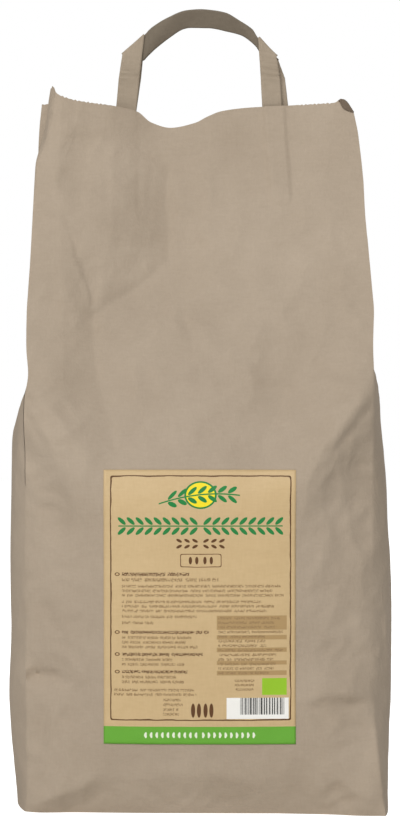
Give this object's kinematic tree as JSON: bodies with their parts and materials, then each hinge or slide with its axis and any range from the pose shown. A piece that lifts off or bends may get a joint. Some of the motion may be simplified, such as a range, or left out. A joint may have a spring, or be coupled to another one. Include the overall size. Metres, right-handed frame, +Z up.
{
  "type": "bag of rice",
  "caption": "Standing block-bottom kraft paper bag of rice, full below and folded flat above, with flat paper carrying handles and a printed label on its front.",
  "frame": {"origin": "under the middle of the bag, on the surface it stands on", "axes": "+Z up along the bag's height, the label faces -Y, +X to the right as seen from the front"},
  "size_m": [0.2325, 0.1375, 0.4798],
  "materials": {
    "kraft_paper": "matt",
    "handle_paper": "matt",
    "label_paper": "satin"
  },
  "bodies": {
    "root": {"paper_bag": "kraft_paper", "handle_front": "handle_paper", "handle_back": "handle_paper", "label": "label_paper"}
  },
  "joints": []
}
